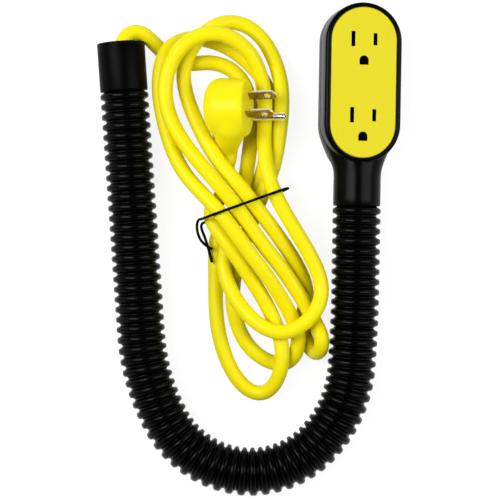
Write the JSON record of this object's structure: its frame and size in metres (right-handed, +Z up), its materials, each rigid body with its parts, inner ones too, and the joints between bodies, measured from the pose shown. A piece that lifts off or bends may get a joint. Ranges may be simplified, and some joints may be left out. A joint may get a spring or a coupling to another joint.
{
  "type": "extension cord",
  "caption": "Grounded extension cord tied in a hank, with a moulded plug at one end and, at the other, a posable ribbed hose that carries an oblong outlet head with a yellow face.",
  "frame": {"origin": "on the table, under the middle of the box round the cuff, hose and head", "axes": "+Z up from the table, +Y along the head away from the hose's bend, +X from the cuff's leg of the hose to the head's leg"},
  "size_m": [0.1726, 0.2792, 0.0463],
  "materials": {
    "black_rubber": "ribbed polyethylene hose, dull sheen",
    "black_plastic": "moulded black plastic, soft sheen",
    "dark_plastic": "moulded dark plastic",
    "cord_yellow": "glossy yellow PVC jacket",
    "face_yellow": "satin yellow plastic",
    "brass": "bare brass strip",
    "plated_brass": "nickel-plated brass blades",
    "steel": "zinc-plated steel",
    "wire_black": "insulated wire",
    "wire_white": "insulated wire",
    "wire_green": "insulated wire",
    "tie_black": "plastic-coated wire"
  },
  "bodies": {
    "base": {"end_cuff": "black_plastic", "cord_gland": "dark_plastic", "hose_link_1": "black_rubber", "cable_link_1": "cord_yellow", "armature_link_1": "steel", "cord_lead": "cord_yellow", "cord_hank": "cord_yellow", "wire_tie": "tie_black", "plug_body": "cord_yellow", "plug_tail": "cord_yellow", "plug_insert": "dark_plastic", "line_blade": "plated_brass", "neutral_blade": "plated_brass", "ground_pin": "plated_brass"},
    "hose_2": {"hose_link_2": "black_rubber", "cable_link_2": "cord_yellow", "armature_link_2": "steel"},
    "hose_3": {"hose_link_3": "black_rubber", "cable_link_3": "cord_yellow", "armature_link_3": "steel"},
    "hose_4": {"hose_link_4": "black_rubber", "cable_link_4": "cord_yellow", "armature_link_4": "steel"},
    "hose_5": {"hose_link_5": "black_rubber", "cable_link_5": "cord_yellow", "armature_link_5": "steel"},
    "hose_6": {"hose_link_6": "black_rubber", "cable_link_6": "cord_yellow", "armature_link_6": "steel"},
    "hose_7": {"hose_link_7": "black_rubber", "cable_link_7": "cord_yellow", "armature_link_7": "steel"},
    "hose_8": {"hose_link_8": "black_rubber", "cable_link_8": "cord_yellow", "armature_link_8": "steel"},
    "head": {"hose_link_9": "black_rubber", "cable_link_9": "cord_yellow", "armature_link_9": "steel", "neck_insert": "dark_plastic", "head_back_shell": "black_plastic", "head_front_shell": "black_plastic", "face_plate": "face_yellow", "outlet_carrier": "dark_plastic", "line_bus": "brass", "neutral_bus": "brass", "ground_bus": "brass", "line_wire": "wire_black", "neutral_wire": "wire_white", "ground_wire": "wire_green", "cable_clamp": "dark_plastic", "clamp_screws": "steel", "head_screws": "steel"}
  },
  "joints": [
    {"name": "hose_bend_1", "type": "hinge", "parent": "base", "child": "hose_2", "pos_m": [-0.0677, 0.04441, 0.01355], "axis": [-0.9976, -0.0698, 0], "range_deg": [-25, 25], "deforming": ["hose_link_1", "cable_link_1", "armature_link_1", "hose_link_2", "cable_link_2", "armature_link_2"]},
    {"name": "hose_bend_2", "type": "hinge", "parent": "hose_2", "child": "hose_3", "pos_m": [-0.06449, -0.00148, 0.01355], "axis": [-0.9976, -0.0698, 0], "range_deg": [-25, 25], "deforming": ["hose_link_2", "cable_link_2", "armature_link_2", "hose_link_3", "cable_link_3", "armature_link_3"]},
    {"name": "hose_bend_3", "type": "hinge", "parent": "hose_3", "child": "hose_4", "pos_m": [-0.06128, -0.04736, 0.01355], "axis": [-0.9976, -0.0698, 0], "range_deg": [-25, 25], "deforming": ["hose_link_3", "cable_link_3", "armature_link_3", "hose_link_4", "cable_link_4", "armature_link_4"]},
    {"name": "hose_bend_4", "type": "hinge", "parent": "hose_4", "child": "hose_5", "pos_m": [-0.04712, -0.09675, 0.01355], "axis": [0, 0, 1], "range_deg": [-30, 0], "deforming": ["hose_link_4", "cable_link_4", "armature_link_4", "hose_link_5", "cable_link_5", "armature_link_5"]},
    {"name": "hose_bend_5", "type": "hinge", "parent": "hose_5", "child": "hose_6", "pos_m": [-0.00628, -0.12534, 0.01355], "axis": [0, 0, 1], "range_deg": [-30, 0], "deforming": ["hose_link_5", "cable_link_5", "armature_link_5", "hose_link_6", "cable_link_6", "armature_link_6"]},
    {"name": "hose_bend_6", "type": "hinge", "parent": "hose_6", "child": "hose_7", "pos_m": [0.04043, -0.10834, 0.01355], "axis": [0, 0, 1], "range_deg": [-30, 0], "deforming": ["hose_link_6", "cable_link_6", "armature_link_6", "hose_link_7", "cable_link_7", "armature_link_7"]},
    {"name": "hose_bend_7", "type": "hinge", "parent": "hose_7", "child": "hose_8", "pos_m": [0.05827, -0.06682, 0.01355], "axis": [0.9969, -0.0785, 0], "range_deg": [-25, 25], "deforming": ["hose_link_7", "cable_link_7", "armature_link_7", "hose_link_8", "cable_link_8", "armature_link_8"]},
    {"name": "hose_bend_8", "type": "hinge", "parent": "hose_8", "child": "head", "pos_m": [0.06048, -0.02089, 0.01355], "axis": [0, 0, 1], "range_deg": [-30, 0], "deforming": ["hose_link_8", "cable_link_8", "armature_link_8", "hose_link_9", "cable_link_9", "armature_link_9"]}
  ]
}
